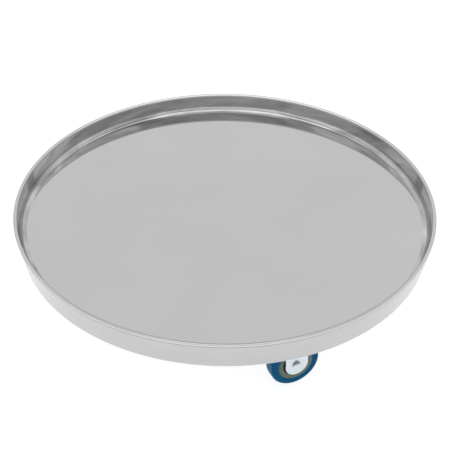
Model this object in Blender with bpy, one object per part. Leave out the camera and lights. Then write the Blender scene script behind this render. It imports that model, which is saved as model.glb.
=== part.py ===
"""Rolling oil drain pan: a shallow round stainless dish with a rolled rim, a
separate outer skirt band, and four swivel castors bolted under it.

Metres, +Z up.  Origin on the ground under the middle of the pan.  Run with
    blender --background --python part.py
"""
import math

import bmesh
import bpy
import mathutils

MM = 0.001

# ---------------------------------------------------------------- pan
PAN_HEIGHT = 90.0          # ground to the top of the rolled rim
PAN_RADIUS = 212.0         # over the rolled rim
SHEET = 0.8                # stainless sheet
DRAFT = math.radians(12.0) # both walls lean outwards by this much
ROLL_RADIUS = 1.8          # outside radius of the rolled rim
CREASE_ANGLE = 212.0       # where the wall runs into the roll, round the roll's section
FLOOR_TOP = 71.8           # upper face of the pan floor
FLOOR_FILLET = 6.5         # inside radius between floor and wall
SKIRT_BOTTOM = 59.0        # lower edge of the skirt band
HEM_WIDTH = 5.0            # inward return flange of the skirt band
LIP_LENGTH = 0.2           # rolled lip below the roll, on the outside
SEAM_GAP = 0.3
TONGUE_RISE = 0.4          # the band's joggled edge inside the roll
PAN_SIDES = 64

# ---------------------------------------------------------------- castors
CASTOR_COUNT = 4
FIRST_CASTOR_AZIMUTH = math.radians(14.5)  # from -Y towards +X
SWIVEL_CIRCLE = 174.5     # radius of the circle the swivel axes stand on
# Way each fork trails, in degrees from +X: the castors stand as they last rolled.
TRAIL_DIRECTIONS = (25.6, 140.0, 200.0, 50.0)
TRAIL = 22.9               # swivel axis to axle
WHEEL_RADIUS = 25.0
AXLE_HEIGHT = 25.0
GAP = 0.3

TYRE_HALF_WIDTH = 7.3
TREAD_HALF_WIDTH = 5.6
HUB_RADIUS = 17.7
HUB_BOSS_RADIUS = 13.8
HUB_RECESS_RADIUS = 12.6   # annular recess in each face of the hub
HUB_RECESS_HALF_WIDTH = 4.6
HUB_HALF_WIDTH = 7.1
BOSS_HALF_WIDTH = 7.6

LEG_INNER = 8.0            # inner face of each fork leg from the wheel's middle
LEG_THICKNESS = 1.3
LOBE_RADIUS = 11.6         # rounded lower end of each leg
LOBE_CENTRE = (22.9, 25.6)
CROWN_TOP = 60.0
CROWN_THICKNESS = 1.8
CROWN_BEND = 3.0           # outside bend radius between crown and leg
KING_HOLE = 5.4
AXLE_HOLE = 2.8
AXLE_RADIUS = 2.5

STUD_RADIUS = 2.9
PAD_RADIUS = 24.0
PAD_THICKNESS = 1.8

STAINLESS = ("stainless", (0.56, 0.56, 0.57, 1.0), 1.0, 0.18)
ZINC = ("zinc_plate", (0.62, 0.66, 0.70, 1.0), 1.0, 0.32)
STEEL = ("dark_steel", (0.35, 0.35, 0.36, 1.0), 1.0, 0.40)
NYLON = ("grey_nylon", (0.13, 0.15, 0.14, 1.0), 0.0, 0.50)
ELASTIC = ("blue_elastic_rubber", (0.004, 0.078, 0.170, 1.0), 0.0, 0.38)


# ---------------------------------------------------------------- helpers
def material(spec):
    """A Principled BSDF material for one piece."""
    name, colour, metallic, roughness = spec
    found = bpy.data.materials.new(name)
    found.use_nodes = True
    shader = found.node_tree.nodes["Principled BSDF"]
    shader.inputs["Base Color"].default_value = colour
    shader.inputs["Metallic"].default_value = metallic
    shader.inputs["Roughness"].default_value = roughness
    found.diffuse_color = colour
    return found


def smooth(mesh, degrees=35.0):
    mesh.shade_smooth()
    mesh.set_sharp_from_angle(angle=math.radians(degrees))


def turned(name, profile, sides, axis="Z"):
    """A solid of revolution.  profile is a closed loop of (radius, height)
    millimetre pairs; a pair with radius 0 becomes a single pole vertex."""
    bm = bmesh.new()
    rings = []
    for radius, height in profile:
        if radius <= 1e-9:
            points = [(0.0, 0.0, height)]
        else:
            points = [(radius * math.cos(2 * math.pi * k / sides),
                       radius * math.sin(2 * math.pi * k / sides), height)
                      for k in range(sides)]
        ring = []
        for x, y, z in points:
            if axis == "Y":
                x, y, z = x, z, y
            ring.append(bm.verts.new((x * MM, y * MM, z * MM)))
        rings.append(ring)
    for a, b in zip(rings, rings[1:] + rings[:1]):
        if len(a) == 1 and len(b) == 1:
            continue
        for k in range(sides):
            n = (k + 1) % sides
            loop = [a[k % len(a)], a[n % len(a)], b[n % len(b)], b[k % len(b)]]
            corners = []
            for vertex in loop:
                if vertex not in corners:
                    corners.append(vertex)
            if len(corners) > 2:
                bm.faces.new(corners)
    bmesh.ops.recalc_face_normals(bm, faces=bm.faces)
    mesh = bpy.data.meshes.new(name)
    bm.to_mesh(mesh)
    bm.free()
    smooth(mesh)
    return mesh


def prism(name, outline, low, high, along="Y"):
    """An outline of (a, b) millimetre pairs extruded from low to high.
    along Y: the pairs are (x, z); along X: (y, z); along Z: (x, y)."""
    def place(a, b, c):
        if along == "Y":
            return (a * MM, c * MM, b * MM)
        if along == "X":
            return (c * MM, a * MM, b * MM)
        return (a * MM, b * MM, c * MM)
    bm = bmesh.new()
    lower = [bm.verts.new(place(a, b, low)) for a, b in outline]
    upper = [bm.verts.new(place(a, b, high)) for a, b in outline]
    bm.faces.new(lower)
    bm.faces.new(upper)
    count = len(outline)
    for k in range(count):
        n = (k + 1) % count
        bm.faces.new([lower[k], lower[n], upper[n], upper[k]])
    bmesh.ops.recalc_face_normals(bm, faces=bm.faces)
    mesh = bpy.data.meshes.new(name)
    bm.to_mesh(mesh)
    bm.free()
    return mesh


def arc(cx, cy, radius, start, end, steps):
    """Points on an arc, from start to end degrees, both ends included."""
    return [(cx + radius * math.cos(math.radians(start + (end - start) * k / steps)),
             cy + radius * math.sin(math.radians(start + (end - start) * k / steps)))
            for k in range(steps + 1)]


def boolean(base, operation, cutters):
    """Applies Booleans to a mesh and returns the new mesh."""
    scene = bpy.context.scene.collection
    body = bpy.data.objects.new("work", base)
    scene.objects.link(body)
    tools = []
    for index, cutter in enumerate(cutters):
        tool = bpy.data.objects.new("cutter_%d" % index, cutter)
        tool.hide_render = True
        tool.display_type = "WIRE"
        scene.objects.link(tool)
        modifier = body.modifiers.new("cut_%d" % index, "BOOLEAN")
        modifier.operation = operation
        modifier.solver = "EXACT"
        modifier.object = tool
        tools.append(tool)
    bpy.context.view_layer.update()
    graph = bpy.context.evaluated_depsgraph_get()
    result = bpy.data.meshes.new_from_object(body.evaluated_get(graph))
    for leftover in [body] + tools:
        bpy.data.objects.remove(leftover, do_unlink=True)
    return result


# ---------------------------------------------------------------- profiles
def wall_line(offset, z):
    """Radius of the outer skin line at height z, moved inwards by offset."""
    tangent_r = roll_centre()[0] + ROLL_RADIUS * math.cos(DRAFT)
    tangent_z = roll_centre()[1] - ROLL_RADIUS * math.sin(DRAFT)
    return tangent_r - (tangent_z - z) * math.tan(DRAFT) - offset / math.cos(DRAFT)


def roll_centre():
    return (PAN_RADIUS - ROLL_RADIUS, PAN_HEIGHT - ROLL_RADIUS)


def inner_line(offset, z):
    """Radius of the dish wall's inner skin at z, moved outwards by offset."""
    crease_r, crease_z = arc(*roll_centre(), ROLL_RADIUS, CREASE_ANGLE, CREASE_ANGLE, 1)[0]
    return crease_r - (crease_z - z) * math.tan(DRAFT) + offset / math.cos(DRAFT)


def fillet(radius, level, offset, steps):
    """The arc from the floor at `level` to the wall, centred inside the dish."""
    centre_z = FLOOR_TOP + FLOOR_FILLET
    centre_r = inner_line(0.0, centre_z) - FLOOR_FILLET / math.cos(DRAFT)
    return arc(centre_r, centre_z, radius, -90.0, -math.degrees(DRAFT), steps)


def dish_profile():
    cr, cz = roll_centre()
    slope = math.degrees(DRAFT)
    lip_z = cz - ROLL_RADIUS * math.sin(DRAFT) - LIP_LENGTH
    upper = [(0.0, FLOOR_TOP)]
    upper += fillet(FLOOR_FILLET, FLOOR_TOP, 0.0, 4)
    upper += arc(cr, cz, ROLL_RADIUS, CREASE_ANGLE, -slope, 6)
    upper.append((wall_line(0.0, lip_z), lip_z))
    lower = [(wall_line(SHEET, lip_z), lip_z)]
    lower += arc(cr, cz, ROLL_RADIUS - SHEET, -slope, CREASE_ANGLE + 14.0, 4)
    lower += list(reversed(fillet(FLOOR_FILLET + SHEET, FLOOR_TOP - SHEET, SHEET, 3)))
    lower.append((0.0, FLOOR_TOP - SHEET))
    return upper + lower


def band_profile():
    cr, cz = roll_centre()
    lip_z = cz - ROLL_RADIUS * math.sin(DRAFT) - LIP_LENGTH
    top = lip_z - SEAM_GAP
    shoulder = top - 0.6
    tongue = SHEET + GAP
    return [
        (wall_line(0.0, top), top),
        (wall_line(tongue, top), top),
        (wall_line(tongue, lip_z + TONGUE_RISE), lip_z + TONGUE_RISE),
        (wall_line(tongue + SHEET, lip_z + TONGUE_RISE), lip_z + TONGUE_RISE),
        (wall_line(tongue + SHEET, top), top),
        (wall_line(SHEET, shoulder - 1.0), shoulder - 1.0),
        (wall_line(SHEET, SKIRT_BOTTOM + SHEET), SKIRT_BOTTOM + SHEET),
        (wall_line(0.0, SKIRT_BOTTOM) - HEM_WIDTH, SKIRT_BOTTOM + SHEET),
        (wall_line(0.0, SKIRT_BOTTOM) - HEM_WIDTH, SKIRT_BOTTOM),
        (wall_line(0.0, SKIRT_BOTTOM) - 0.5, SKIRT_BOTTOM),
        (wall_line(0.0, SKIRT_BOTTOM + 0.5), SKIRT_BOTTOM + 0.5),
    ]


def castor_meshes():
    """The castor's pieces, in its own frame: swivel axis on Z, trailing +X,
    axle along Y, the axle's head on the -Y side."""
    meshes = {}
    pad_top = FLOOR_TOP - SHEET - GAP
    pad_low = pad_top - PAD_THICKNESS
    stud_low = 47.2
    meshes["mount_pad"] = turned("mount_pad", [
        (0.0, pad_top), (PAD_RADIUS, pad_top), (PAD_RADIUS, pad_low),
        (STUD_RADIUS, pad_low), (STUD_RADIUS, stud_low + 0.8),
        (STUD_RADIUS - 0.8, stud_low), (0.0, stud_low)], 16)
    head_top = pad_low - GAP
    meshes["swivel_head"] = turned("swivel_head", [
        (5.3, head_top - 1.5), (7.4, head_top - 1.5), (7.4, head_top),
        (21.2, head_top), (22.5, head_top - 1.3), (22.5, 62.4), (21.4, 62.4),
        (21.4, head_top - 2.3), (5.3, head_top - 2.3)], 20)
    meshes["king_sleeve"] = turned("king_sleeve", [
        (3.2, 56.3), (6.6, 56.3), (6.6, 57.6), (5.0, 57.6), (5.0, head_top - 1.2),
        (7.1, head_top - 1.2), (7.1, head_top - 0.1), (3.2, head_top - 0.1)], 12)
    meshes["ball_ring"] = turned(
        "ball_ring", list(reversed(arc(15.2, 64.05, 1.7, 0.0, 288.0, 4))), 16)
    meshes["lower_race"] = turned("lower_race", [
        (KING_HOLE, 60.3), (18.8, 60.3), (20.2, 61.4), (20.2, 63.2),
        (19.3, 63.2), (18.2, 61.9), (KING_HOLE, 61.9)], 16)
    meshes["stud_washer"] = turned("stud_washer", [
        (3.2, 54.8), (6.5, 54.8), (6.5, 56.0), (3.2, 56.0)], 12)
    hexagon = [(10.0 / math.sqrt(3.0) * math.cos(math.radians(60 * k)),
                10.0 / math.sqrt(3.0) * math.sin(math.radians(60 * k))) for k in range(6)]
    bore = turned("bore", [(0.0, 40.0), (3.2, 40.0), (3.2, 65.0), (0.0, 65.0)], 12)
    meshes["stud_nut"] = boolean(
        prism("stud_nut", hexagon, 49.3, 54.5, "Z"), "DIFFERENCE", [bore])

    # The fork: a channel bent from one strip, trimmed to the leg outline.
    outer = LEG_INNER + LEG_THICKNESS
    inner_bend = CROWN_BEND - LEG_THICKNESS
    crown_low = CROWN_TOP - CROWN_THICKNESS
    channel = [(-outer, 5.0)]
    channel += arc(-outer + CROWN_BEND, CROWN_TOP - CROWN_BEND, CROWN_BEND, 180, 90, 3)
    channel += arc(outer - CROWN_BEND, CROWN_TOP - CROWN_BEND, CROWN_BEND, 90, 0, 3)
    channel += [(outer, 5.0), (LEG_INNER, 5.0)]
    channel += arc(LEG_INNER - inner_bend, crown_low - inner_bend, inner_bend, 0, 90, 2)
    channel += arc(-LEG_INNER + inner_bend, crown_low - inner_bend, inner_bend, 90, 180, 2)
    channel += [(-LEG_INNER, 5.0)]
    side = arc(*LOBE_CENTRE, LOBE_RADIUS, 180.0, 360.0, 8)
    side += [(LOBE_CENTRE[0] + LOBE_RADIUS, 31.0), (32.0, 42.0), (25.0, 53.0), (20.0, 57.0),
             (20.0, 70.0), (-16.0, 70.0), (-16.0, 55.0), (-12.0, 51.5),
             (0.0, 46.0), (7.0, 41.0), (10.4, 36.5)]
    side += [(LOBE_CENTRE[0] - LOBE_RADIUS, 31.0)]
    king = turned("king", [(0.0, 40.0), (KING_HOLE, 40.0), (KING_HOLE, 80.0), (0.0, 80.0)], 16)
    axle = turned("axle", [(0.0, -30.0), (AXLE_HOLE, -30.0), (AXLE_HOLE, 30.0), (0.0, 30.0)],
                  12, axis="Y")
    axle.transform(mathutils.Matrix.Translation((TRAIL * MM, 0.0, AXLE_HEIGHT * MM)))
    fork = boolean(prism("fork", channel, -30.0, 50.0, "X"), "INTERSECT",
                   [prism("side", side, -20.0, 20.0, "Y")])
    meshes["fork"] = boolean(fork, "DIFFERENCE", [king, axle])

    # Axle group and wheel, turned about Y and placed by their objects.
    meshes["axle_bolt"] = turned("axle_bolt", [
        (0.0, -outer - 3.0), (2.3, -outer - 2.5), (3.8, -outer - 1.3), (4.2, -outer - 0.3),
        (AXLE_RADIUS, -outer - 0.3), (AXLE_RADIUS, outer + 5.0), (0.0, outer + 5.0)],
        12, axis="Y")
    small_hex = [(8.0 / math.sqrt(3.0) * math.cos(math.radians(60 * k)),
                  8.0 / math.sqrt(3.0) * math.sin(math.radians(60 * k))) for k in range(6)]
    small_bore = turned("small_bore", [(0.0, 0.0), (AXLE_HOLE, 0.0), (AXLE_HOLE, 30.0),
                                       (0.0, 30.0)], 12, axis="Y")
    meshes["axle_nut"] = boolean(
        prism("axle_nut", small_hex, outer + 0.3, outer + 4.2, "Y"), "DIFFERENCE", [small_bore])
    meshes["axle_sleeve"] = turned("axle_sleeve", [
        (2.8, -7.7), (3.3, -7.7), (3.3, 7.7), (2.8, 7.7)], 12, axis="Y")
    half = [(3.6, BOSS_HALF_WIDTH), (8.0, BOSS_HALF_WIDTH), (8.3, HUB_RECESS_HALF_WIDTH),
            (HUB_RECESS_RADIUS, HUB_RECESS_HALF_WIDTH), (HUB_RECESS_RADIUS + 0.5, HUB_HALF_WIDTH - 0.3),
            (HUB_BOSS_RADIUS, HUB_HALF_WIDTH - 0.3), (HUB_BOSS_RADIUS + 0.4, HUB_HALF_WIDTH),
            (HUB_RADIUS, HUB_HALF_WIDTH)]
    meshes["hub"] = turned(
        "hub", half + [(r, -h) for r, h in reversed(half)], 20, axis="Y")
    inner = HUB_RADIUS + GAP
    shoulder = [(inner, TYRE_HALF_WIDTH - 0.3), (inner + 0.5, TYRE_HALF_WIDTH),
                (22.3, TYRE_HALF_WIDTH), (24.2, TREAD_HALF_WIDTH + 1.0),
                (WHEEL_RADIUS, TREAD_HALF_WIDTH - 0.4)]
    meshes["tyre"] = turned(
        "tyre", shoulder + [(r, -h) for r, h in reversed(shoulder)], 32, axis="Y")
    return meshes


# ---------------------------------------------------------------- build
def build():
    scene = bpy.context.scene.collection

    def place(name, mesh, spec, parent=None, location=(0.0, 0.0, 0.0)):
        item = bpy.data.objects.new(name, mesh)
        scene.objects.link(item)
        item.location = location
        if parent is not None:
            item.parent = parent
        mesh.materials.clear()
        mesh.materials.append(material(spec))
        return item

    place("pan_dish", turned("pan_dish", dish_profile(), PAN_SIDES), STAINLESS)
    place("skirt_band", turned("skirt_band", band_profile(), PAN_SIDES), STAINLESS)

    finish = {
        "mount_pad": STAINLESS, "swivel_head": ZINC, "king_sleeve": ZINC,
        "ball_ring": STEEL, "lower_race": ZINC, "stud_washer": ZINC, "stud_nut": ZINC,
        "fork": ZINC, "axle_bolt": ZINC, "axle_nut": ZINC, "axle_sleeve": STEEL,
        "hub": NYLON, "tyre": ELASTIC,
    }
    about_axle = ("hub", "tyre")
    on_axle = ("axle_bolt", "axle_nut", "axle_sleeve") + about_axle
    meshes = castor_meshes()
    for mesh in meshes.values():
        smooth(mesh)
    for number in range(CASTOR_COUNT):
        azimuth = FIRST_CASTOR_AZIMUTH + number * 2 * math.pi / CASTOR_COUNT
        swivel = bpy.data.objects.new("swivel_axis_%d" % (number + 1), None)
        scene.objects.link(swivel)
        swivel.location = (SWIVEL_CIRCLE * math.sin(azimuth) * MM,
                           -SWIVEL_CIRCLE * math.cos(azimuth) * MM, 0.0)
        swivel.rotation_euler = (0.0, 0.0, math.radians(TRAIL_DIRECTIONS[number]))
        axle = bpy.data.objects.new("axle_axis_%d" % (number + 1), None)
        scene.objects.link(axle)
        axle.parent = swivel
        axle.location = (TRAIL * MM, 0.0, AXLE_HEIGHT * MM)
        for piece, mesh in meshes.items():
            parent = axle if piece in on_axle else swivel
            place("castor_%d_%s" % (number + 1, piece), mesh.copy(), finish[piece], parent)
    bpy.context.view_layer.update()


for old in list(bpy.data.objects):
    bpy.data.objects.remove(old, do_unlink=True)
build()
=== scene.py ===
import math

import bmesh
import bpy
from mathutils import Matrix, Vector


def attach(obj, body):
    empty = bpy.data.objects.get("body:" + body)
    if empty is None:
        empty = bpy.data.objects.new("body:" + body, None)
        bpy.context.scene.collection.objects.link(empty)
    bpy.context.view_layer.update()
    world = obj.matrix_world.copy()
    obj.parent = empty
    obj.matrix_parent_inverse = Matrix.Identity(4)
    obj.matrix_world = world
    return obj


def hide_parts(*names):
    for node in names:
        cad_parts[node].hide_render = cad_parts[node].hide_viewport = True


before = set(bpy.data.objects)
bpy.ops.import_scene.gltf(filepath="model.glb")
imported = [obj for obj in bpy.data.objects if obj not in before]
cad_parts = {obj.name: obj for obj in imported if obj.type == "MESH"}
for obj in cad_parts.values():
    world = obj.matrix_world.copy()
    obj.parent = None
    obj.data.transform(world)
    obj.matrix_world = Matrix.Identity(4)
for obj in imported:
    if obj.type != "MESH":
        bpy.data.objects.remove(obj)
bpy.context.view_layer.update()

MM = 0.001

# ------------------------------------------------------------------ dimensions, as in the CAD model
PAN_HEIGHT, PAN_RADIUS, SHEET = 90.0, 212.0, 0.8
DRAFT = math.radians(12.0)
ROLL_RADIUS, CREASE_ANGLE, FLOOR_TOP, FLOOR_FILLET = 1.8, 212.0, 71.8, 6.5
SKIRT_BOTTOM, HEM_WIDTH, LIP_LENGTH, SEAM_GAP, TONGUE_RISE = 59.0, 5.0, 0.2, 0.3, 0.4
FIRST_CASTOR_AZIMUTH, SWIVEL_CIRCLE = math.radians(14.5), 174.5
TRAIL_DIRECTIONS = (25.6, 140.0, 200.0, 50.0)
TRAIL, WHEEL_RADIUS, AXLE_HEIGHT = 22.9, 25.0, 25.0
TYRE_HALF_WIDTH, TREAD_HALF_WIDTH = 7.3, 5.6
HUB_RADIUS, HUB_BOSS_RADIUS, HUB_HALF_WIDTH, BOSS_HALF_WIDTH = 17.7, 13.8, 7.1, 7.6
HUB_RECESS_RADIUS, HUB_RECESS_HALF_WIDTH = 12.6, 4.6
LEG_INNER, LEG_THICKNESS, LOBE_RADIUS, LOBE_CENTRE = 8.0, 1.3, 11.6, (22.9, 25.6)
CROWN_TOP, CROWN_THICKNESS, CROWN_BEND = 60.0, 1.8, 3.0
KING_HOLE, AXLE_HOLE, AXLE_RADIUS = 5.4, 2.8, 2.5
STUD_RADIUS, PAD_RADIUS, PAD_THICKNESS, GAP = 2.9, 24.0, 1.8, 0.3
OUTER = LEG_INNER + LEG_THICKNESS
PAD_TOP = FLOOR_TOP - SHEET - GAP
PAD_LOW = PAD_TOP - PAD_THICKNESS
HEAD_TOP = PAD_LOW - GAP


# ------------------------------------------------------------------ node helpers
class Nodes:
    """Short calls for building a material's nodes."""

    def __init__(self, tree):
        self.tree = tree

    def add(self, kind, **settings):
        node = self.tree.nodes.new(kind)
        inputs = settings.pop("inputs", {})
        for key, value in settings.items():
            setattr(node, key, value)
        for key, value in inputs.items():
            socket = node.inputs[key]
            if isinstance(value, bpy.types.NodeSocket):
                self.tree.links.new(value, socket)
            else:
                socket.default_value = value
        return node

    def math(self, operation, a, b=None, c=None, clamp=False):
        inputs = {0: a}
        if b is not None:
            inputs[1] = b
        if c is not None:
            inputs[2] = c
        return self.add("ShaderNodeMath", operation=operation, use_clamp=clamp, inputs=inputs).outputs[0]

    def noise(self, vector, scale, detail=3.0, rough=0.5, distortion=0.0):
        return self.add("ShaderNodeTexNoise", inputs={"Vector": vector, "Scale": scale, "Detail": detail,
                        "Roughness": rough, "Distortion": distortion}).outputs["Fac"]

    def ranged(self, value, low, high, to_low, to_high, smooth=False):
        return self.add("ShaderNodeMapRange", clamp=True,
                        interpolation_type="SMOOTHSTEP" if smooth else "LINEAR",
                        inputs={"Value": value, "From Min": low, "From Max": high,
                                "To Min": to_low, "To Max": to_high}).outputs["Result"]

    def ramp(self, value, stops, interpolation="LINEAR"):
        node = self.add("ShaderNodeValToRGB", inputs={"Fac": value})
        ramp = node.color_ramp
        ramp.interpolation = interpolation
        while len(ramp.elements) < len(stops):
            ramp.elements.new(0.5)
        for element, (at, colour) in zip(ramp.elements, stops):
            element.position = at
            element.color = (colour, colour, colour, 1.0) if isinstance(colour, float) else (*colour, 1.0)
        return node.outputs["Color"]

    def combine(self, x, y, z):
        return self.add("ShaderNodeCombineXYZ", inputs={"X": x, "Y": y, "Z": z}).outputs[0]

    def bump(self, height, strength, distance, normal=None):
        inputs = {"Height": height, "Strength": strength, "Distance": distance}
        if normal is not None:
            inputs["Normal"] = normal
        return self.add("ShaderNodeBump", inputs=inputs).outputs["Normal"]


def new_material(name, colour, metallic, roughness):
    made = bpy.data.materials.new(name)
    made.use_nodes = True
    shader = made.node_tree.nodes["Principled BSDF"]
    shader.inputs["Base Color"].default_value = (*colour, 1.0)
    shader.inputs["Metallic"].default_value = metallic
    shader.inputs["Roughness"].default_value = roughness
    made.diffuse_color = (*colour, 1.0)
    return made, shader, Nodes(made.node_tree)


def place_coordinates(n):
    """Object coordinates in metres, and the same point as (angle, radius, height)."""
    point = n.add("ShaderNodeTexCoord").outputs["Object"]
    parts = n.add("ShaderNodeSeparateXYZ", inputs={0: point})
    x, y, z = parts.outputs[0], parts.outputs[1], parts.outputs[2]
    angle = n.math("ARCTAN2", y, x)
    radius = n.math("SQRT", n.math("ADD", n.math("MULTIPLY", x, x), n.math("MULTIPLY", y, y)))
    return point, angle, radius, z, x, y


# ------------------------------------------------------------------ materials
def round_pan(n, angle, scale, height):
    """Noise coordinates that run round the pan and close on themselves."""
    reach = 0.21 * scale
    return n.combine(n.math("MULTIPLY", n.math("COSINE", angle), reach),
                     n.math("MULTIPLY", n.math("SINE", angle), reach), height)


def steel_floor():
    """Mirror-polished sheet: nearly clear reflections, faint clouding and wipe marks."""
    made, shader, n = new_material("mirror_floor_steel", (0.60, 0.60, 0.605), 1.0, 0.05)
    point, angle, radius, z, x, y = place_coordinates(n)
    cloud = n.noise(point, 7.0, 4.0, 0.55, 0.6)
    wipe = n.noise(n.combine(n.math("MULTIPLY", x, 3.0), n.math("MULTIPLY", y, 26.0), 0.0), 6.0, 5.0, 0.6, 0.4)
    tone = n.math("ADD", n.math("MULTIPLY", cloud, 0.75), n.math("MULTIPLY", wipe, 0.25))
    n.tree.links.new(n.ramp(tone, [(0.30, (0.585, 0.586, 0.592)), (0.70, (0.618, 0.618, 0.620))]),
                     shader.inputs["Base Color"])
    n.tree.links.new(n.ranged(tone, 0.3, 0.7, 0.035, 0.075), shader.inputs["Roughness"])
    wave = n.noise(point, 9.0, 1.0, 0.4)
    n.tree.links.new(n.bump(wave, 0.10, 0.0006), shader.inputs["Normal"])
    return made


def steel_wall():
    """Pressed and buffed wall: clear reflections broken by a slight ripple and buffing lines, and a base colour that
    swings widely: polish haze plus painted reflection streaks.
    """
    made, shader, n = new_material("buffed_wall_steel", (0.60, 0.60, 0.605), 1.0, 0.10)
    point, angle, radius, z, x, y = place_coordinates(n)
    slanted = n.math("ADD", angle, n.math("MULTIPLY", z, 7.6))
    ripple = n.noise(round_pan(n, slanted, 17.0, n.math("MULTIPLY", z, 24.0)),
                     1.0, 2.0, 0.5, 0.9)
    lines = n.noise(round_pan(n, angle, 60.0, n.math("MULTIPLY", z, 1800.0)), 1.0, 3.0, 0.6)
    # base colour from 0.34 to 0.67 along slanted noise: partly polish haze, partly painted reflection streaks
    haze_and_painted_streaks = n.noise(round_pan(n, slanted, 15.0, n.math("MULTIPLY", z, 70.0)), 1.0, 4.0, 0.55, 0.7)
    n.tree.links.new(n.ramp(haze_and_painted_streaks, [(0.34, (0.340, 0.341, 0.346)), (0.5, (0.500, 0.501, 0.504)), (0.68, (0.670, 0.670, 0.672))]),
                     shader.inputs["Base Color"])
    n.tree.links.new(n.ranged(lines, 0.3, 0.7, 0.04, 0.13), shader.inputs["Roughness"])
    first = n.bump(ripple, 0.22, 0.0012)
    n.tree.links.new(n.bump(lines, 0.05, 0.0001, first), shader.inputs["Normal"])
    return made


def steel_rim():
    """Rolled rim: the best-polished edge, with only fine lines running round it."""
    made, shader, n = new_material("polished_rim_steel", (0.62, 0.62, 0.625), 1.0, 0.07)
    point, angle, radius, z, x, y = place_coordinates(n)
    across = n.math("MULTIPLY", n.math("SUBTRACT", radius, z), 1700.0)
    lines = n.noise(round_pan(n, angle, 14.0, across), 1.0, 2.0, 0.5)
    n.tree.links.new(n.ramp(lines, [(0.3, (0.595, 0.596, 0.600)), (0.7, (0.650, 0.650, 0.652))]),
                     shader.inputs["Base Color"])
    n.tree.links.new(n.ranged(lines, 0.3, 0.7, 0.05, 0.11), shader.inputs["Roughness"])
    return made


def steel_skirt():
    """Outer band: satin polish with fine lines running round the pan."""
    made, shader, n = new_material("satin_skirt_steel", (0.60, 0.60, 0.605), 1.0, 0.22)
    point, angle, radius, z, x, y = place_coordinates(n)
    lines = n.noise(round_pan(n, angle, 24.0, n.math("MULTIPLY", z, 2600.0)), 1.0, 4.0, 0.65)
    cloud = n.noise(round_pan(n, angle, 20.0, n.math("MULTIPLY", z, 40.0)), 1.0, 3.0, 0.5)
    tone = n.math("ADD", n.math("MULTIPLY", lines, 0.55), n.math("MULTIPLY", cloud, 0.45))
    n.tree.links.new(n.ramp(tone, [(0.3, (0.490, 0.490, 0.494)), (0.7, (0.545, 0.545, 0.547))]),
                     shader.inputs["Base Color"])
    n.tree.links.new(n.ranged(tone, 0.3, 0.7, 0.17, 0.28), shader.inputs["Roughness"])
    n.tree.links.new(n.bump(lines, 0.06, 0.0001), shader.inputs["Normal"])
    return made


def painted_seam_shade():
    """The joggled edge inside the seam: dull metal coloured near black, painted shade for the shadow in the gap."""
    made, shader, n = new_material("painted_shade_seam_steel", (0.030, 0.029, 0.028), 0.6, 0.5)
    point, angle, radius, z, x, y = place_coordinates(n)
    tone_noise = n.noise(round_pan(n, angle, 120.0, n.math("MULTIPLY", z, 900.0)), 1.0, 3.0, 0.6)
    # near-black base colour: painted shade in the seam gap
    n.tree.links.new(n.ramp(tone_noise, [(0.3, (0.022, 0.021, 0.020)), (0.7, (0.044, 0.043, 0.042))]),
                     shader.inputs["Base Color"])
    n.tree.links.new(n.ranged(tone_noise, 0.3, 0.7, 0.42, 0.6), shader.inputs["Roughness"])
    return made


def zinc_plate():
    """Bright zinc plate: bluish, slightly mottled, with faint press lines."""
    made, shader, n = new_material("bright_zinc", (0.68, 0.74, 0.79), 1.0, 0.30)
    point = n.add("ShaderNodeTexCoord").outputs["Object"]
    mottled = n.noise(point, 420.0, 4.0, 0.6, 0.3)
    patch = n.noise(point, 90.0, 2.0, 0.5)
    tone = n.math("ADD", n.math("MULTIPLY", mottled, 0.5), n.math("MULTIPLY", patch, 0.5))
    n.tree.links.new(n.ramp(tone, [(0.3, (0.60, 0.665, 0.72)), (0.7, (0.76, 0.81, 0.85))]),
                     shader.inputs["Base Color"])
    n.tree.links.new(n.ranged(tone, 0.3, 0.7, 0.22, 0.38), shader.inputs["Roughness"])
    n.tree.links.new(n.bump(mottled, 0.12, 0.0002), shader.inputs["Normal"])
    return made


def bare_steel():
    """Oiled bearing steel."""
    made, shader, n = new_material("bearing_steel", (0.32, 0.32, 0.34), 1.0, 0.22)
    point = n.add("ShaderNodeTexCoord").outputs["Object"]
    tone_noise = n.noise(point, 300.0, 3.0, 0.5)
    n.tree.links.new(n.ramp(tone_noise, [(0.3, (0.27, 0.26, 0.26)), (0.7, (0.40, 0.40, 0.42))]),
                     shader.inputs["Base Color"])
    n.tree.links.new(n.ranged(tone_noise, 0.3, 0.7, 0.15, 0.32), shader.inputs["Roughness"])
    return made


def bright_axle():
    """Axle bolt: smooth bright zinc that mirrors what is above and below it."""
    made, shader, n = new_material("axle_zinc", (0.70, 0.74, 0.77), 1.0, 0.12)
    point = n.add("ShaderNodeTexCoord").outputs["Object"]
    tone_noise = n.noise(point, 600.0, 3.0, 0.5)
    n.tree.links.new(n.ramp(tone_noise, [(0.3, (0.62, 0.66, 0.70)), (0.7, (0.76, 0.80, 0.83))]),
                     shader.inputs["Base Color"])
    n.tree.links.new(n.ranged(tone_noise, 0.3, 0.7, 0.09, 0.16), shader.inputs["Roughness"])
    return made


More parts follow.
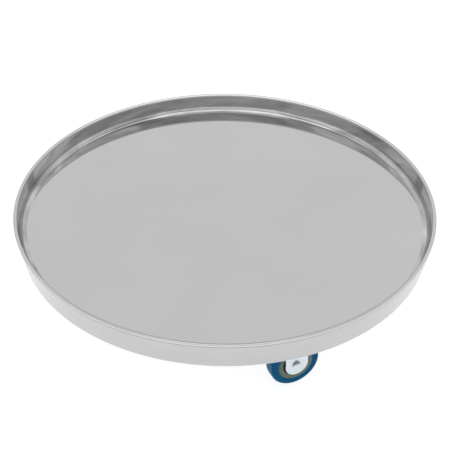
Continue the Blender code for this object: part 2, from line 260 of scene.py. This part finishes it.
def grey_nylon():
    """Moulded hub: greenish grey, fine spark-eroded grain. Inside 12.7 mm radius it is painted near black as shade in
    the recess, and a yellowish ring from 13 to 14.2 mm is a painted highlight on the recess lip.
    """
    made, shader, n = new_material("hub_nylon", (0.125, 0.15, 0.135), 0.0, 0.5)
    point = n.add("ShaderNodeTexCoord").outputs["Object"]
    grain = n.noise(point, 2600.0, 3.0, 0.6)
    flow = n.noise(point, 120.0, 3.0, 0.5, 0.8)
    tone = n.math("ADD", n.math("MULTIPLY", grain, 0.4), n.math("MULTIPLY", flow, 0.6))
    parts = n.add("ShaderNodeSeparateXYZ", inputs={0: point})
    x, z = parts.outputs[0], parts.outputs[2]
    radius = n.math("SQRT", n.math("ADD", n.math("MULTIPLY", x, x), n.math("MULTIPLY", z, z)))
    # painted shade and highlight by radius: near black inside 12.7 mm (recess shade), yellowish green from 13 to 14.2
    # mm (lip highlight), then the hub's own greenish grey
    rings = n.ramp(n.ranged(n.math("ADD", radius, n.math("MULTIPLY", flow, 0.0001)), 0.0120, 0.0180, 0.0, 1.0), [
        (0.0, (0.006, 0.007, 0.007)), (0.12, (0.010, 0.011, 0.010)), (0.16, (0.146, 0.190, 0.092)),
        (0.36, (0.138, 0.186, 0.100)), (0.46, (0.092, 0.140, 0.120)), (0.80, (0.080, 0.125, 0.122)),
        (1.0, (0.070, 0.108, 0.114))])
    shade = n.ramp(tone, [(0.3, (0.84, 0.84, 0.84)), (0.7, (1.0, 1.0, 1.0))])
    mixed = n.add("ShaderNodeMix", inputs={0: 1.0, 6: rings, 7: shade}, data_type="RGBA", blend_type="MULTIPLY")
    n.tree.links.new(mixed.outputs[2], shader.inputs["Base Color"])
    n.tree.links.new(n.ranged(grain, 0.3, 0.7, 0.42, 0.58), shader.inputs["Roughness"])
    n.tree.links.new(n.bump(grain, 0.15, 0.0001), shader.inputs["Normal"])
    return made


def blue_tyre():
    """Blue elastic tyre: satin moulded rubber, with a patchy painted highlight making the tread paler than the sides.
    """
    made, shader, n = new_material("tyre_rubber_blue", (0.003, 0.082, 0.185), 0.0, 0.42)
    point = n.add("ShaderNodeTexCoord").outputs["Object"]
    parts = n.add("ShaderNodeSeparateXYZ", inputs={0: point})
    x, y, z = parts.outputs[0], parts.outputs[1], parts.outputs[2]
    radius = n.math("SQRT", n.math("ADD", n.math("MULTIPLY", x, x), n.math("MULTIPLY", z, z)))
    grain = n.noise(point, 1500.0, 3.0, 0.6)
    patch = n.noise(point, 140.0, 4.0, 0.6, 0.5)
    # painted highlight: beyond 24.3 mm radius the blue is mixed, in patches, towards a paler blue (0.072, 0.19, 0.33)
    painted_tread_highlight = n.math("MULTIPLY", n.ranged(radius, 0.0243, 0.0250, 0.0, 1.0, True),
                  n.ranged(patch, 0.42, 0.62, 0.25, 1.0))
    tone = n.math("ADD", n.math("MULTIPLY", patch, 0.6), n.math("MULTIPLY", grain, 0.4))
    base = n.ramp(tone, [(0.3, (0.0003, 0.067, 0.165)), (0.7, (0.0008, 0.094, 0.216))])
    mixed = n.add("ShaderNodeMix", data_type="RGBA", inputs={0: n.math("MULTIPLY", painted_tread_highlight, 0.85), 6: base,
                  7: (0.072, 0.190, 0.330, 1.0)})
    n.tree.links.new(mixed.outputs[2], shader.inputs["Base Color"])
    n.tree.links.new(n.ranged(tone, 0.3, 0.7, 0.36, 0.52), shader.inputs["Roughness"])
    n.tree.links.new(n.bump(grain, 0.12, 0.0001), shader.inputs["Normal"])
    shader.inputs["Specular IOR Level"].default_value = 0.06
    return made


def studio_floor():
    made, shader, n = new_material("studio_floor", (0.42, 0.42, 0.42), 0.0, 0.75)
    shader.inputs["Specular IOR Level"].default_value = 0.1
    shader.inputs["Emission Color"].default_value = (1.0, 1.0, 1.0, 1.0)
    shader.inputs["Emission Strength"].default_value = 0.82
    return made


FLOOR, WALL, RIM_STEEL, SKIRT, SEAM_SHADE = steel_floor(), steel_wall(), steel_rim(), steel_skirt(), painted_seam_shade()
ZINC, AXLE, BEARING, NYLON, TYRE = zinc_plate(), bright_axle(), bare_steel(), grey_nylon(), blue_tyre()


# ------------------------------------------------------------------ mesh helpers
def arc(cx, cy, radius, start, end, steps):
    return [(cx + radius * math.cos(math.radians(start + (end - start) * k / steps)),
             cy + radius * math.sin(math.radians(start + (end - start) * k / steps)))
            for k in range(steps + 1)]


def rounded(profile, radius, steps=3):
    """The closed profile with each corner rounded, unless its sides are too short."""
    made = []
    count = len(profile)
    for k in range(count):
        before, at, after = (Vector(profile[k - 1]), Vector(profile[k]), Vector(profile[(k + 1) % count]))
        if at.x <= 1e-9:
            made.append(tuple(at))
            continue
        a, b = before - at, after - at
        reach = min(radius, a.length * 0.4, b.length * 0.4)
        if reach < 0.02 or a.angle(b) > math.radians(165):
            made.append(tuple(at))
            continue
        p, q = at + a.normalized() * reach, at + b.normalized() * reach
        for s in range(steps + 1):
            t = s / steps
            made.append(tuple(p * (1 - t) ** 2 + at * 2 * t * (1 - t) + q * t * t))
    return made


def turned(name, profile, sides, axis="Z", pick=None):
    """A solid of revolution from a closed loop of (radius, height) millimetre pairs.
    pick(radius, height) gives a face its material index."""
    bm = bmesh.new()
    rings = []
    for radius, height in profile:
        if radius <= 1e-9:
            points = [(0.0, 0.0, height)]
        else:
            points = [(radius * math.cos(2 * math.pi * k / sides),
                       radius * math.sin(2 * math.pi * k / sides), height) for k in range(sides)]
        rings.append([bm.verts.new((x * MM, z * MM, y * MM) if axis == "Y" else (x * MM, y * MM, z * MM))
                      for x, y, z in points])
    count = len(profile)
    for index in range(count):
        a, b = rings[index], rings[(index + 1) % count]
        if len(a) == 1 and len(b) == 1:
            continue
        (r0, h0), (r1, h1) = profile[index], profile[(index + 1) % count]
        chosen = pick((r0 + r1) / 2, (h0 + h1) / 2, index) if pick else 0
        for k in range(sides):
            n = (k + 1) % sides
            corners = []
            for vertex in (a[k % len(a)], a[n % len(a)], b[n % len(b)], b[k % len(b)]):
                if vertex not in corners:
                    corners.append(vertex)
            face = bm.faces.new(corners)
            face.material_index = chosen
    bmesh.ops.recalc_face_normals(bm, faces=bm.faces)
    mesh = bpy.data.meshes.new(name)
    bm.to_mesh(mesh)
    bm.free()
    return mesh


def prism(name, outline, low, high, along="Y"):
    def place(a, b, c):
        if along == "Y":
            return (a * MM, c * MM, b * MM)
        if along == "X":
            return (c * MM, a * MM, b * MM)
        return (a * MM, b * MM, c * MM)
    bm = bmesh.new()
    lower = [bm.verts.new(place(a, b, low)) for a, b in outline]
    upper = [bm.verts.new(place(a, b, high)) for a, b in outline]
    bm.faces.new(lower)
    bm.faces.new(upper)
    count = len(outline)
    for k in range(count):
        n = (k + 1) % count
        bm.faces.new([lower[k], lower[n], upper[n], upper[k]])
    bmesh.ops.recalc_face_normals(bm, faces=bm.faces)
    mesh = bpy.data.meshes.new(name)
    bm.to_mesh(mesh)
    bm.free()
    return mesh


def joined(name, meshes):
    """Several closed meshes as one."""
    bm = bmesh.new()
    for mesh in meshes:
        bm.from_mesh(mesh)
    made = bpy.data.meshes.new(name)
    bm.to_mesh(made)
    bm.free()
    return made


def boolean(base, steps):
    """Booleans applied one after another: steps are (operation, mesh)."""
    collection = bpy.context.scene.collection
    body = bpy.data.objects.new("work", base)
    collection.objects.link(body)
    tools = []
    for index, (operation, cutter) in enumerate(steps):
        tool = bpy.data.objects.new("tool_%d" % index, cutter)
        collection.objects.link(tool)
        modifier = body.modifiers.new("step_%d" % index, "BOOLEAN")
        modifier.operation, modifier.solver, modifier.object = operation, "EXACT", tool
        tools.append(tool)
    bpy.context.view_layer.update()
    result = bpy.data.meshes.new_from_object(body.evaluated_get(bpy.context.evaluated_depsgraph_get()))
    for leftover in [body] + tools:
        bpy.data.objects.remove(leftover, do_unlink=True)
    return result


def applied(mesh, *modifiers):
    """Modifiers given as (type, settings) applied to a mesh."""
    body = bpy.data.objects.new("work", mesh)
    bpy.context.scene.collection.objects.link(body)
    for kind, settings in modifiers:
        modifier = body.modifiers.new(kind.lower(), kind)
        for key, value in settings.items():
            setattr(modifier, key, value)
    bpy.context.view_layer.update()
    result = bpy.data.meshes.new_from_object(body.evaluated_get(bpy.context.evaluated_depsgraph_get()))
    bpy.data.objects.remove(body, do_unlink=True)
    return result


BEVEL = ("BEVEL", {"width": 0.00036, "segments": 2, "limit_method": "ANGLE", "angle_limit": math.radians(38),
                   "harden_normals": False})


def shaded(mesh, degrees=32.0):
    mesh.shade_smooth()
    mesh.set_sharp_from_angle(angle=math.radians(degrees))
    return mesh


# ------------------------------------------------------------------ pan profiles
def roll_centre():
    return (PAN_RADIUS - ROLL_RADIUS, PAN_HEIGHT - ROLL_RADIUS)


def crease():
    """Where the wall runs into the roll."""
    cr, cz = roll_centre()
    turn = math.radians(CREASE_ANGLE)
    return (cr + ROLL_RADIUS * math.cos(turn), cz + ROLL_RADIUS * math.sin(turn))


def wall_line(offset, z):
    tangent_r = roll_centre()[0] + ROLL_RADIUS * math.cos(DRAFT)
    tangent_z = roll_centre()[1] - ROLL_RADIUS * math.sin(DRAFT)
    return tangent_r - (tangent_z - z) * math.tan(DRAFT) - offset / math.cos(DRAFT)


def inner_line(offset, z):
    crease_r, crease_z = crease()
    return crease_r - (crease_z - z) * math.tan(DRAFT) + offset / math.cos(DRAFT)


def fillet(radius, steps):
    centre_z = FLOOR_TOP + FLOOR_FILLET
    centre_r = inner_line(0.0, centre_z) - FLOOR_FILLET / math.cos(DRAFT)
    return arc(centre_r, centre_z, radius, -90.0, -math.degrees(DRAFT), steps)


def bead():
    """The rolled edge: crease side, a nearly flat inner shoulder, then the tight outer turn."""
    cr, cz = roll_centre()
    shoulder_r, shoulder_z = 0.72, 0.68
    tight = ROLL_RADIUS - shoulder_r
    start = (shoulder_r + tight * math.cos(math.radians(97.0)), shoulder_z + tight * math.sin(math.radians(97.0)))
    points = arc(0.0, 0.0, ROLL_RADIUS, CREASE_ANGLE - 7.0, 180.0, 4)
    points += [(-ROLL_RADIUS, 0.35)]
    points += arc(-ROLL_RADIUS + 0.62, 0.55, 0.62, 178.0, 108.0, 8)
    first = points[-1]
    middle = ((first[0] + start[0]) / 2.0 - 0.03, (first[1] + start[1]) / 2.0 + 0.055)
    points += [(first[0] + (middle[0] - first[0]) * 0.5 - 0.01, first[1] + (middle[1] - first[1]) * 0.5 + 0.022), middle,
               (middle[0] + (start[0] - middle[0]) * 0.5, middle[1] + (start[1] - middle[1]) * 0.5 + 0.018)]
    points += arc(shoulder_r, shoulder_z, tight, 97.0, 0.0, 12)
    points += [(ROLL_RADIUS, 0.35)]
    points += arc(0.0, 0.0, ROLL_RADIUS, 0.0, -math.degrees(DRAFT), 3)
    top = max(z for r, z in points)
    return [(cr + r, min(cz + z + (ROLL_RADIUS - top) * max(z, 0.0) / top, PAN_HEIGHT)) for r, z in points]


def inline_foot(down):
    """A point on the wall's inner skin, a little below the crease."""
    z = crease()[1] - down
    return (inner_line(0.0, z), z)


def blended(a, corner, b, steps):
    """A short curve from a to b that leans towards the corner."""
    made = []
    for k in range(steps + 1):
        t = k / steps
        made.append((a[0] * (1 - t) ** 2 + corner[0] * 2 * t * (1 - t) + b[0] * t * t,
                     a[1] * (1 - t) ** 2 + corner[1] * 2 * t * (1 - t) + b[1] * t * t))
    return made


def between(a, b, shares):
    return [(a[0] + (b[0] - a[0]) * t, a[1] + (b[1] - a[1]) * t) for t in shares]


def dish_profile():
    cr, cz = roll_centre()
    lip_z = cz - ROLL_RADIUS * math.sin(DRAFT) - LIP_LENGTH
    slope = math.degrees(DRAFT)
    corner = fillet(FLOOR_FILLET, 20)
    roll = bead()
    foot = inline_foot(0.28)
    bend = blended(foot, crease(), roll[0], 4)
    lip = (wall_line(0.0, lip_z), lip_z)
    upper = [(0.0, FLOOR_TOP)]
    upper += [(r, FLOOR_TOP) for r in (10.0, 40.0, 80.0, 120.0, 160.0, 190.0, 199.0, corner[0][0] - 0.25)]
    upper += corner
    upper += between(corner[-1], foot, (0.015, 0.15, 0.32, 0.5, 0.68, 0.85, 0.985))
    upper += bend
    upper += roll[1:]
    upper += between(roll[-1], lip, (0.1, 0.72))
    upper += [(lip[0] - 0.02, lip[1] + 0.05), (lip[0] - 0.14, lip[1])]
    inner_lip = (wall_line(SHEET, lip_z), lip_z)
    lower = [(inner_lip[0] + 0.1, inner_lip[1]), (inner_lip[0], inner_lip[1] + 0.1)]
    lower += arc(cr, cz, ROLL_RADIUS - SHEET, -slope, CREASE_ANGLE + 14.0, 12)
    under = list(reversed(fillet(FLOOR_FILLET + SHEET, 8)))
    lower += between(lower[-1], under[0], (0.02, 0.5, 0.98))
    lower += under
    lower += [(r, FLOOR_TOP - SHEET) for r in (under[-1][0] - 0.3, 199.0, 160.0, 80.0)]
    lower.append((0.0, FLOOR_TOP - SHEET))
    return upper + lower


def band_profile():
    cr, cz = roll_centre()
    lip_z = cz - ROLL_RADIUS * math.sin(DRAFT) - LIP_LENGTH
    top = lip_z - SEAM_GAP
    shoulder = top - 0.6
    tongue = SHEET + GAP
    outer_foot = arc(wall_line(0.0, SKIRT_BOTTOM + 1.4) - 1.4, SKIRT_BOTTOM + 1.4, 1.4,
                     -math.degrees(DRAFT), -90.0, 8)
    foot_r = outer_foot[-1][0]
    rim = wall_line(0.0, SKIRT_BOTTOM) - HEM_WIDTH
    inner_foot = arc(wall_line(0.0, SKIRT_BOTTOM + 1.4) - 1.4, SKIRT_BOTTOM + 1.4, 0.6,
                     -90.0, -math.degrees(DRAFT), 5)
    outer_line = between((wall_line(0.0, top), top), outer_foot[0], (0.02, 0.2, 0.4, 0.6, 0.8, 0.99))
    return (
        [(wall_line(0.0, top) - 0.1, top), (wall_line(tongue, top) + 0.1, top), (wall_line(tongue, top), top + 0.1)]
        + [(wall_line(tongue, lip_z + TONGUE_RISE), lip_z + TONGUE_RISE),
           (wall_line(tongue + SHEET, lip_z + TONGUE_RISE), lip_z + TONGUE_RISE)]
        + [(wall_line(tongue + SHEET, top), top), (wall_line(SHEET, shoulder - 1.0), shoulder - 1.0),
           (wall_line(SHEET, shoulder - 1.5), shoulder - 1.5)]
        + list(reversed(inner_foot))
        + [(foot_r - 0.4, SKIRT_BOTTOM + SHEET), (rim + 0.3, SKIRT_BOTTOM + SHEET), (rim, SKIRT_BOTTOM + SHEET - 0.2),
           (rim, SKIRT_BOTTOM + 0.2), (rim + 0.2, SKIRT_BOTTOM), (foot_r - 0.3, SKIRT_BOTTOM)]
        + list(reversed(outer_foot))
        + list(reversed(outer_line))
        + [(wall_line(0.0, top - 0.1), top - 0.1)]
    )


def pick_steel(radius, height, index):
    if radius < 200.0 and height > FLOOR_TOP - 0.01:
        return 0
    return 2 if height > crease()[1] - 0.15 else 1


# ------------------------------------------------------------------ castor meshes, in the castor's own frame
def pick_seam(radius, height, index):
    """1 for the part of the band that stands up inside the roll, which gets the painted seam shade, 0 for the rest."""
    lip_z = roll_centre()[1] - ROLL_RADIUS * math.sin(DRAFT) - LIP_LENGTH
    return 1 if height > lip_z - SEAM_GAP - 0.06 else 0


def hexagon(across, start=0.0):
    return [(across / math.sqrt(3.0) * math.cos(math.radians(60 * k + start)),
             across / math.sqrt(3.0) * math.sin(math.radians(60 * k + start))) for k in range(6)]


def nut(name, across, low, high, hole, along, thread_depth):
    """A hexagon nut: chamfered corners on both faces and a countersunk hole."""
    corner = across / math.sqrt(3.0)
    rise = corner - across / 2
    axis = "Y" if along == "Y" else "Z"
    keep = turned("keep", [(0.0, low), (corner - rise * 1.05, low), (corner + 0.01, low + rise * 0.62),
                           (corner + 0.01, high - rise * 0.62), (corner - rise * 1.05, high), (0.0, high)], 48, axis)
    bore = turned("bore", [(0.0, low - 1), (hole + 0.9, low - 1), (hole + 0.45, low - 0.02), (hole, low + 0.45),
                           (hole, high - 0.45), (hole + 0.45, high + 0.02), (hole + 0.9, high + 1), (0.0, high + 1)],
                  32, axis)
    return shaded(boolean(prism(name, hexagon(across), low, high, along), [("INTERSECT", keep), ("DIFFERENCE", bore)]), 28)


def thread_profile(radius, low, high, pitch, depth):
    """Ridges down a turned shank, as (radius, height) pairs from high to low."""
    made = []
    z = high
    while z - pitch > low:
        made += [(radius, z - 0.10 * pitch), (radius, z - 0.30 * pitch), (radius - depth, z - 0.60 * pitch),
                 (radius - depth, z - 0.72 * pitch)]
        z -= pitch
    return made


def fork_mesh():
    inner_bend = CROWN_BEND - LEG_THICKNESS
    crown_low = CROWN_TOP - CROWN_THICKNESS
    channel = [(-OUTER, 5.0)]
    channel += arc(-OUTER + CROWN_BEND, CROWN_TOP - CROWN_BEND, CROWN_BEND, 180, 90, 12)
    channel += arc(OUTER - CROWN_BEND, CROWN_TOP - CROWN_BEND, CROWN_BEND, 90, 0, 12)
    channel += [(OUTER, 5.0), (LEG_INNER, 5.0)]
    channel += arc(LEG_INNER - inner_bend, crown_low - inner_bend, inner_bend, 0, 90, 8)
    channel += arc(-LEG_INNER + inner_bend, crown_low - inner_bend, inner_bend, 90, 180, 8)
    channel += [(-LEG_INNER, 5.0)]
    # one smooth outline: round end, straight sides, a concave sweep up to the crown's front
    side = arc(*LOBE_CENTRE, LOBE_RADIUS, 180.0, 360.0, 56)
    right = [(LOBE_CENTRE[0] + LOBE_RADIUS, 31.0), (32.6, 40.0), (28.0, 49.5), (22.4, 55.2), (20.0, 57.4)]
    left = [(-16.0, 55.4), (-12.0, 52.2), (-5.0, 48.6), (2.0, 45.0), (7.2, 41.0), (10.6, 36.6),
            (LOBE_CENTRE[0] - LOBE_RADIUS, 31.0)]
    side += smoothed(right, 6)
    side += [(20.0, 70.0), (-16.0, 70.0)]
    side += smoothed(left, 6)
    king = turned("king", [(0.0, 40.0), (KING_HOLE, 40.0), (KING_HOLE, 80.0), (0.0, 80.0)], 48)
    axle = turned("axle", [(0.0, -30.0), (AXLE_HOLE, -30.0), (AXLE_HOLE, 30.0), (0.0, 30.0)], 40, "Y")
    axle.transform(Matrix.Translation((TRAIL * MM, 0.0, AXLE_HEIGHT * MM)))
    bent = boolean(prism("fork", channel, -30.0, 50.0, "X"),
                   [("INTERSECT", prism("side", side, -20.0, 20.0, "Y"))])
    bent = boolean(bent, [("DIFFERENCE", king), ("DIFFERENCE", axle)])
    return shaded(applied(bent, BEVEL), 30)


def smoothed(points, steps):
    """A Catmull-Rom curve through the points."""
    made = []
    count = len(points)
    for k in range(count - 1):
        p0, p1, p2, p3 = (Vector(points[max(k - 1, 0)]), Vector(points[k]), Vector(points[k + 1]),
                          Vector(points[min(k + 2, count - 1)]))
        for s in range(steps):
            t = s / steps
            made.append(tuple(0.5 * ((2 * p1) + (p2 - p0) * t + (2 * p0 - 5 * p1 + 4 * p2 - p3) * t * t
                                     + (3 * p1 - p0 - 3 * p2 + p3) * t ** 3)))
    made.append(points[-1])
    return made


def castor_meshes():
    made = {}
    stud_low = 47.2
    shank = thread_profile(STUD_RADIUS, stud_low + 0.8, PAD_LOW - 6.0, 1.0, 0.45)
    made["mount_pad"] = (shaded(turned("mount_pad", rounded(
        [(0.0, PAD_TOP), (PAD_RADIUS, PAD_TOP), (PAD_RADIUS, PAD_LOW), (STUD_RADIUS + 1.2, PAD_LOW)], 0.3)
        + [(STUD_RADIUS + 0.35, PAD_LOW - 0.35), (STUD_RADIUS, PAD_LOW - 1.2)]
        + shank + [(STUD_RADIUS, stud_low + 0.9), (STUD_RADIUS - 0.8, stud_low), (0.0, stud_low)], 64)), SKIRT)
    made["swivel_head"] = (shaded(turned("swivel_head", rounded([
        (5.3, HEAD_TOP - 1.5), (7.4, HEAD_TOP - 1.5), (7.4, HEAD_TOP),
        (21.2, HEAD_TOP), (22.5, HEAD_TOP - 1.3), (22.5, 62.4), (21.4, 62.4),
        (21.4, HEAD_TOP - 2.3), (5.3, HEAD_TOP - 2.3)], 0.5, 4), 72)), ZINC)
    made["king_sleeve"] = (shaded(turned("king_sleeve", rounded([
        (3.2, 56.3), (6.6, 56.3), (6.6, 57.6), (5.0, 57.6), (5.0, HEAD_TOP - 1.2),
        (7.1, HEAD_TOP - 1.2), (7.1, HEAD_TOP - 0.1), (3.2, HEAD_TOP - 0.1)], 0.35), 48)), ZINC)
    balls = []
    for k in range(18):
        turn = 2 * math.pi * k / 18
        ball = bmesh.new()
        bmesh.ops.create_uvsphere(ball, u_segments=20, v_segments=12, radius=1.65 * MM,
                                  matrix=Matrix.Translation((15.2 * MM * math.cos(turn), 15.2 * MM * math.sin(turn),
                                                             64.05 * MM)))
        mesh = bpy.data.meshes.new("ball")
        ball.to_mesh(mesh)
        ball.free()
        balls.append(mesh)
    made["ball_ring"] = (shaded(joined("ball_ring", balls), 60), BEARING)
    made["lower_race"] = (shaded(turned("lower_race", rounded([
        (KING_HOLE, 60.3), (18.8, 60.3), (20.2, 61.4), (20.2, 63.2),
        (19.3, 63.2), (18.2, 61.9), (KING_HOLE, 61.9)], 0.35), 64)), ZINC)
    made["stud_washer"] = (shaded(turned("stud_washer", rounded([
        (3.2, 54.8), (6.5, 54.8), (6.5, 56.0), (3.2, 56.0)], 0.2), 48)), ZINC)
    made["stud_nut"] = (nut("stud_nut", 10.0, 49.3, 54.5, 3.2, "Z", 0.4), ZINC)
    made["fork"] = (fork_mesh(), ZINC)
    bolt = [(0.0, -OUTER - 2.55), (0.7, -OUTER - 2.57), (1.0, -OUTER - 2.93), (1.4, -OUTER - 3.0)]
    bolt += [(2.2, -OUTER - 2.88), (2.9, -OUTER - 2.6), (3.45, -OUTER - 2.12), (3.85, -OUTER - 1.5),
             (4.1, -OUTER - 0.9), (4.18, -OUTER - 0.42), (4.05, -OUTER - 0.3), (AXLE_RADIUS + 0.1, -OUTER - 0.3),
             (AXLE_RADIUS, -OUTER - 0.2)]
    ridges = [(r, -z) for r, z in thread_profile(AXLE_RADIUS, -(OUTER + 4.4), -(OUTER - 3.0), 0.8, 0.32)]
    bolt += [(AXLE_RADIUS, OUTER - 3.2)] + ridges
    bolt += [(AXLE_RADIUS, OUTER + 4.5), (AXLE_RADIUS - 0.5, OUTER + 5.0), (0.0, OUTER + 5.0)]
    made["axle_bolt"] = (shaded(turned("axle_bolt", bolt, 48, "Y"), 40), AXLE)
    made["axle_nut"] = (nut("axle_nut", 8.0, OUTER + 0.3, OUTER + 4.2, AXLE_HOLE, "Y", 0.3), ZINC)
    made["axle_sleeve"] = (shaded(turned("axle_sleeve", rounded([
        (2.8, -7.7), (3.3, -7.7), (3.3, 7.7), (2.8, 7.7)], 0.1), 40, "Y")), BEARING)
    half = [(3.6, BOSS_HALF_WIDTH), (8.0, BOSS_HALF_WIDTH), (8.3, HUB_RECESS_HALF_WIDTH),
            (HUB_RECESS_RADIUS, HUB_RECESS_HALF_WIDTH), (HUB_RECESS_RADIUS + 0.5, HUB_HALF_WIDTH - 0.3),
            (HUB_BOSS_RADIUS, HUB_HALF_WIDTH - 0.3), (HUB_BOSS_RADIUS + 0.4, HUB_HALF_WIDTH),
            (HUB_RADIUS, HUB_HALF_WIDTH)]
    made["hub"] = (shaded(turned("hub", rounded(half + [(r, -h) for r, h in reversed(half)], 0.3), 96, "Y")), NYLON)
    inner = HUB_RADIUS + 0.03
    shoulder = [(inner, TYRE_HALF_WIDTH - 0.35), (inner + 0.45, TYRE_HALF_WIDTH),
                (21.6, TYRE_HALF_WIDTH), (22.4, TYRE_HALF_WIDTH - 0.08), (23.3, TYRE_HALF_WIDTH - 0.42),
                (24.0, TYRE_HALF_WIDTH - 0.9), (24.55, TREAD_HALF_WIDTH + 0.2), (24.85, TREAD_HALF_WIDTH - 0.5),
                (24.97, TREAD_HALF_WIDTH - 1.3), (WHEEL_RADIUS, TREAD_HALF_WIDTH - 2.4), (WHEEL_RADIUS, 0.35)]
    made["tyre"] = (shaded(turned("tyre", shoulder + [(r, -h) for r, h in reversed(shoulder)], 128, "Y"), 50), TYRE)
    return made


# ------------------------------------------------------------------ the pieces
def piece(name, mesh, materials, body, nodes, matrix=None):
    item = bpy.data.objects.new(name, mesh)
    bpy.context.scene.collection.objects.link(item)
    if not mesh.materials:
        for one in materials:
            mesh.materials.append(one)
    if matrix is not None:
        item.matrix_world = matrix
    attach(item, body)
    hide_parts(*nodes)
    return item


piece("dish", shaded(turned("dish", dish_profile(), 288, "Z", pick_steel), 40), [FLOOR, WALL, RIM_STEEL], "pan", ["pan_dish"])
# the band's second material slot is the painted seam shade
piece("outer_band", shaded(turned("outer_band", band_profile(), 288, "Z", pick_seam), 40), [SKIRT, SEAM_SHADE], "pan", ["skirt_band"])

ON_PAN = ("mount_pad", "swivel_head", "king_sleeve", "stud_washer", "stud_nut")
ON_WHEEL = ("hub", "tyre")
ON_AXLE = ("axle_bolt", "axle_nut", "axle_sleeve", "hub", "tyre")
shapes = castor_meshes()
for number in range(4):
    azimuth = FIRST_CASTOR_AZIMUTH + number * math.pi / 2
    stand = (Matrix.Translation((SWIVEL_CIRCLE * MM * math.sin(azimuth), -SWIVEL_CIRCLE * MM * math.cos(azimuth), 0.0))
             @ Matrix.Rotation(math.radians(TRAIL_DIRECTIONS[number]), 4, "Z"))
    at_axle = stand @ Matrix.Translation((TRAIL * MM, 0.0, AXLE_HEIGHT * MM))
    for part, (mesh, finish) in shapes.items():
        label = "castor_%d_%s" % (number + 1, part)
        body = "pan" if part in ON_PAN else "castor_%d_%s" % (number + 1, "wheel" if part in ON_WHEEL else "swivel")
        piece("made_" + label, mesh, [finish], body, [label], at_axle if part in ON_AXLE else stand)

# ------------------------------------------------------------------ studio
ground_mesh = bpy.data.meshes.new("studio_ground")
ground_mesh.from_pydata([(-30, -30, -0.0002), (30, -30, -0.0002), (30, 30, -0.0002), (-30, 30, -0.0002)], [],
                        [(0, 1, 2, 3)])
ground = bpy.data.objects.new("studio_ground", ground_mesh)
bpy.context.scene.collection.objects.link(ground)
ground_mesh.materials.append(studio_floor())


def studio_world():
    """An even pale grey surround, the same in every direction and for every ray."""
    world = bpy.data.worlds.new("studio")
    bpy.context.scene.world = world
    world.use_nodes = True
    shade = world.node_tree.nodes["Background"]
    shade.inputs["Color"].default_value = (0.50, 0.50, 0.50, 1.0)
    shade.inputs["Strength"].default_value = 1.0


def softbox(name, place, wide, high, brightness):
    """A rectangular soft light of even brightness, aimed at the middle of the pan."""
    data = bpy.data.lights.new(name, "AREA")
    data.shape = "RECTANGLE"
    data.size, data.size_y = wide, high
    data.energy = brightness * math.pi * wide * high
    lamp = bpy.data.objects.new(name, data)
    bpy.context.scene.collection.objects.link(lamp)
    lamp.location = place
    lamp.rotation_euler = (Vector((0.0, 0.0, 0.07)) - Vector(place)).to_track_quat("-Z", "Y").to_euler()


studio_world()
softbox("behind", (0.0, 2.4, 1.9), 4.5, 2.3, 0.37)
softbox("front", (0.0, -2.4, 1.9), 4.5, 2.3, 0.37)
softbox("left", (-2.4, 0.0, 1.9), 4.5, 2.3, 0.37)
softbox("right", (2.4, 0.0, 1.9), 4.5, 2.3, 0.37)
softbox("overhead", (0.0, 0.33, 2.4), 1.6, 2.15, 0.85)

# ------------------------------------------------------------------ camera
RIM = PAN_RADIUS * MM
CENTRE = Vector((0.0, 0.0, PAN_HEIGHT * MM))
DISTANCE, ELEVATION, FOCAL_PX, AIM_X, AIM_Y, ROLL_ANGLE = (
    6.0 * RIM, math.radians(36.16), 1260.3, 224.31, 202.28, math.radians(0.443))
MIDDLE = 224.5
eye = Vector((0.0, -DISTANCE * math.cos(ELEVATION), DISTANCE * math.sin(ELEVATION)))
forward = -eye.normalized()
right = Vector((1.0, 0.0, 0.0))
up = right.cross(forward)
aim = Vector(((AIM_X - MIDDLE) / FOCAL_PX, -(AIM_Y - MIDDLE) / FOCAL_PX, 1.0)).normalized()
yaw, pitch = math.atan2(aim.x, aim.z), math.asin(aim.y)
forward, up = (forward * math.cos(pitch) - up * math.sin(pitch), up * math.cos(pitch) + forward * math.sin(pitch))
forward, right = (forward * math.cos(yaw) - right * math.sin(yaw), right * math.cos(yaw) + forward * math.sin(yaw))
right, up = (right * math.cos(ROLL_ANGLE) + up * math.sin(ROLL_ANGLE),
             up * math.cos(ROLL_ANGLE) - right * math.sin(ROLL_ANGLE))
lens = bpy.data.cameras.new("camera")
lens.sensor_width = 36.0
lens.lens = FOCAL_PX / 450.0 * 36.0
lens.clip_start, lens.clip_end = 0.05, 80.0
camera = bpy.data.objects.new("camera", lens)
bpy.context.scene.collection.objects.link(camera)
place = eye + CENTRE
camera.matrix_world = Matrix(((right.x, up.x, -forward.x, place.x), (right.y, up.y, -forward.y, place.y),
                              (right.z, up.z, -forward.z, place.z), (0.0, 0.0, 0.0, 1.0)))
bpy.context.scene.camera = camera
bpy.context.scene.view_settings.view_transform = "Standard"
bpy.context.scene.view_settings.look = "None"
